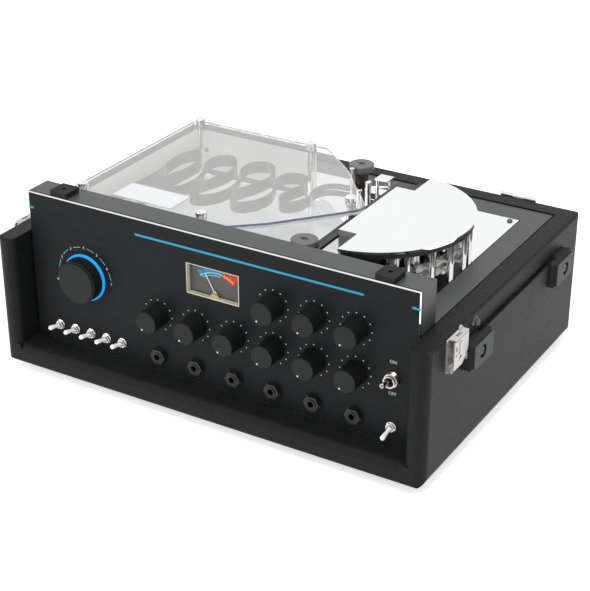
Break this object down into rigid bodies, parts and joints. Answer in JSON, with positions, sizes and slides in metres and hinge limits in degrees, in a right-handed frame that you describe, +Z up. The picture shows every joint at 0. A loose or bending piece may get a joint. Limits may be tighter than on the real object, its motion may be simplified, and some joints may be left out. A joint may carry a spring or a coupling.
{
  "type": "tape echo unit",
  "caption": "Portable tape echo unit in a covered carrying case: control panel with meter, knobs and jacks before a mirror deck with tape tank, rollers, capstan and tape heads.",
  "frame": {"origin": "on the table under the middle of the unit", "axes": "+X across the control panel to its right, +Z up, -Y towards the player"},
  "size_m": [0.493, 0.3524, 0.1925],
  "materials": {
    "case_covering": "black grained vinyl cloth over plywood",
    "rubber": "black rubber",
    "cap_plastic": "dark grey moulded plastic",
    "strap": "black moulded strap",
    "dark_screw": "black oxide screws",
    "nickel": "nickel plate",
    "zinc_sheet": "zinc-plated sheet",
    "frame_paint": "satin dark grey paint",
    "housing_paint": "satin dark grey paint",
    "panel_paint": "matte charcoal paint",
    "bezel_gold": "cream-gold frame",
    "window_glass": "clear window",
    "dial_grey": "grey printed dial on its case",
    "needle_white": "cream-white pointer",
    "blue_ring": "azure blue ring",
    "jack_plastic": "black plastic",
    "deck_mirror": "mirror-polished plate",
    "chrome": "bright chrome",
    "tape": "brown oxide tape",
    "black_plate": "black paint",
    "head_metal": "polished head shells",
    "felt": "white felt on spring arms",
    "motor_paint": "dark motor case",
    "transformer_iron": "laminated iron with winding",
    "board": "green laminate",
    "knob_plastic": "satin black plastic",
    "lever_dark": "dark chrome",
    "acrylic": "clear acrylic",
    "roller_grey": "grey plastic"
  },
  "bodies": {
    "case": {"case_shell": "case_covering", "rubber_feet": "rubber", "handle_caps": "cap_plastic", "handle_straps": "strap", "screws": "dark_screw", "latch_plates": "nickel", "hinge_leaves": "nickel", "chassis_tray": "zinc_sheet", "deck_frame": "frame_paint", "control_housing": "housing_paint", "front_panel": "panel_paint", "vu_bezel": "bezel_gold", "vu_window": "window_glass", "vu_movement": "dial_grey", "mode_ring": "blue_ring", "rotary_bodies": "zinc_sheet", "toggle_bodies": "zinc_sheet", "toggle_nuts": "nickel", "jack_sockets": "jack_plastic", "deck_plate": "deck_mirror", "cover_standoffs": "chrome", "tape_loop": "tape", "head_cover_plate": "deck_mirror", "head_block_plate": "black_plate", "deck_posts": "chrome", "tape_heads": "head_metal", "pressure_pads": "felt", "bridge_bar": "black_plate", "capstan_motor": "motor_paint", "transformer": "transformer_iron", "circuit_board": "board", "reverb_tank": "zinc_sheet", "mains_inlet": "jack_plastic"},
    "mode_knob": {"mode_knob": "knob_plastic"},
    "knob_1": {"knob_1": "knob_plastic"},
    "knob_2": {"knob_2": "knob_plastic"},
    "knob_3": {"knob_3": "knob_plastic"},
    "knob_4": {"knob_4": "knob_plastic"},
    "knob_5": {"knob_5": "knob_plastic"},
    "knob_6": {"knob_6": "knob_plastic"},
    "knob_7": {"knob_7": "knob_plastic"},
    "knob_8": {"knob_8": "knob_plastic"},
    "knob_9": {"knob_9": "knob_plastic"},
    "toggle_lever_1": {"toggle_lever_1": "chrome"},
    "toggle_lever_2": {"toggle_lever_2": "chrome"},
    "toggle_lever_3": {"toggle_lever_3": "chrome"},
    "toggle_lever_4": {"toggle_lever_4": "chrome"},
    "toggle_lever_5": {"toggle_lever_5": "chrome"},
    "power_lever": {"power_lever": "lever_dark"},
    "level_lever": {"level_lever": "chrome"},
    "needle": {"vu_needle": "needle_white"},
    "cover": {"tank_cover": "acrylic", "thumb_screws": "chrome"},
    "capstan": {"capstan_shaft": "chrome"},
    "pinch_arm": {"pinch_arm": "chrome"},
    "pinch_roller": {"pinch_roller": "rubber"},
    "roller_front": {"roller_front": "roller_grey"},
    "roller_rear": {"roller_rear": "roller_grey"},
    "latch_left": {"latch_lever_left": "nickel"},
    "latch_right": {"latch_lever_right": "nickel"}
  },
  "joints": [
    {"name": "mode_turn", "type": "hinge", "parent": "case", "child": "mode_knob", "pos_m": [-0.1487, -0.14825, 0.1096], "axis": [0, 1, 0], "range_deg": [0, 180]},
    {"name": "knob_1_turn", "type": "hinge", "parent": "case", "child": "knob_1", "pos_m": [-0.0627, -0.14825, 0.0917], "axis": [0, 1, 0], "range_deg": [0, 300]},
    {"name": "knob_2_turn", "type": "hinge", "parent": "case", "child": "knob_2", "pos_m": [-0.0199, -0.14825, 0.0917], "axis": [0, 1, 0], "range_deg": [0, 300]},
    {"name": "knob_3_turn", "type": "hinge", "parent": "case", "child": "knob_3", "pos_m": [0.0229, -0.14825, 0.0917], "axis": [0, 1, 0], "range_deg": [0, 300]},
    {"name": "knob_4_turn", "type": "hinge", "parent": "case", "child": "knob_4", "pos_m": [0.0657, -0.14825, 0.0917], "axis": [0, 1, 0], "range_deg": [0, 300]},
    {"name": "knob_5_turn", "type": "hinge", "parent": "case", "child": "knob_5", "pos_m": [0.1085, -0.14825, 0.0917], "axis": [0, 1, 0], "range_deg": [0, 300]},
    {"name": "knob_6_turn", "type": "hinge", "parent": "case", "child": "knob_6", "pos_m": [0.1513, -0.14825, 0.0917], "axis": [0, 1, 0], "range_deg": [0, 300]},
    {"name": "knob_7_turn", "type": "hinge", "parent": "case", "child": "knob_7", "pos_m": [0.0657, -0.14825, 0.1356], "axis": [0, 1, 0], "range_deg": [0, 300]},
    {"name": "knob_8_turn", "type": "hinge", "parent": "case", "child": "knob_8", "pos_m": [0.1085, -0.14825, 0.1356], "axis": [0, 1, 0], "range_deg": [0, 300]},
    {"name": "knob_9_turn", "type": "hinge", "parent": "case", "child": "knob_9", "pos_m": [0.1513, -0.14825, 0.1356], "axis": [0, 1, 0], "range_deg": [0, 300]},
    {"name": "toggle_1_flip", "type": "hinge", "parent": "case", "child": "toggle_lever_1", "pos_m": [-0.1837, -0.15025, 0.0486], "axis": [1, 0, 0], "range_deg": [0, 24]},
    {"name": "toggle_2_flip", "type": "hinge", "parent": "case", "child": "toggle_lever_2", "pos_m": [-0.16465, -0.15025, 0.0486], "axis": [1, 0, 0], "range_deg": [0, 24]},
    {"name": "toggle_3_flip", "type": "hinge", "parent": "case", "child": "toggle_lever_3", "pos_m": [-0.1456, -0.15025, 0.0486], "axis": [1, 0, 0], "range_deg": [0, 24]},
    {"name": "toggle_4_flip", "type": "hinge", "parent": "case", "child": "toggle_lever_4", "pos_m": [-0.12655, -0.15025, 0.0486], "axis": [1, 0, 0], "range_deg": [0, 24]},
    {"name": "toggle_5_flip", "type": "hinge", "parent": "case", "child": "toggle_lever_5", "pos_m": [-0.1075, -0.15025, 0.0486], "axis": [1, 0, 0], "range_deg": [0, 24]},
    {"name": "power_flip", "type": "hinge", "parent": "case", "child": "power_lever", "pos_m": [0.1887, -0.14825, 0.0957], "axis": [1, 0, 0], "range_deg": [0, 18]},
    {"name": "level_flip", "type": "hinge", "parent": "case", "child": "level_lever", "pos_m": [0.1887, -0.15025, 0.0465], "axis": [1, 0, 0], "range_deg": [-24, 0]},
    {"name": "needle_swing", "type": "hinge", "parent": "case", "child": "needle", "pos_m": [0, -0.14385, 0.1286], "axis": [0, 1, 0], "range_deg": [0, 58], "stiffness_Nm_per_rad": 0.0002},
    {"name": "cover_lift", "type": "slide", "parent": "case", "child": "cover", "axis": [0, 0, 1], "range_m": [0, 0.04]},
    {"name": "capstan_spin", "type": "hinge", "parent": "case", "child": "capstan", "pos_m": [0.078, 0.08975, 0.1435], "axis": [0, 0, 1], "continuous": true},
    {"name": "roller_front_spin", "type": "hinge", "parent": "case", "child": "roller_front", "pos_m": [0.062, -0.08625, 0.1435], "axis": [0, 0, 1], "continuous": true},
    {"name": "roller_rear_spin", "type": "hinge", "parent": "case", "child": "roller_rear", "pos_m": [0.02, 0.10175, 0.1435], "axis": [0, 0, 1], "continuous": true},
    {"name": "pinch_arm_swing", "type": "hinge", "parent": "case", "child": "pinch_arm", "pos_m": [0.112, 0.10775, 0.1435], "axis": [0, 0, 1], "range_deg": [-12, 0]},
    {"name": "pinch_roller_spin", "type": "hinge", "parent": "pinch_arm", "child": "pinch_roller", "pos_m": [0.08022, 0.10256, 0.1435], "axis": [0, 0, 1], "continuous": true},
    {"name": "latch_right_swing", "type": "hinge", "parent": "case", "child": "latch_right", "pos_m": [0.2395, -0.12525, 0.1155], "axis": [0, 1, 0], "range_deg": [0, 100]},
    {"name": "latch_left_swing", "type": "hinge", "parent": "case", "child": "latch_left", "pos_m": [-0.2395, -0.12525, 0.1155], "axis": [0, -1, 0], "range_deg": [0, 100]}
  ],
  "couplings": [
    {"joint": "roller_front_spin", "follows": "capstan_spin", "ratio": 0.3333},
    {"joint": "roller_rear_spin", "follows": "capstan_spin", "ratio": -0.3333},
    {"joint": "pinch_roller_spin", "follows": "capstan_spin", "ratio": -0.3333}
  ]
}
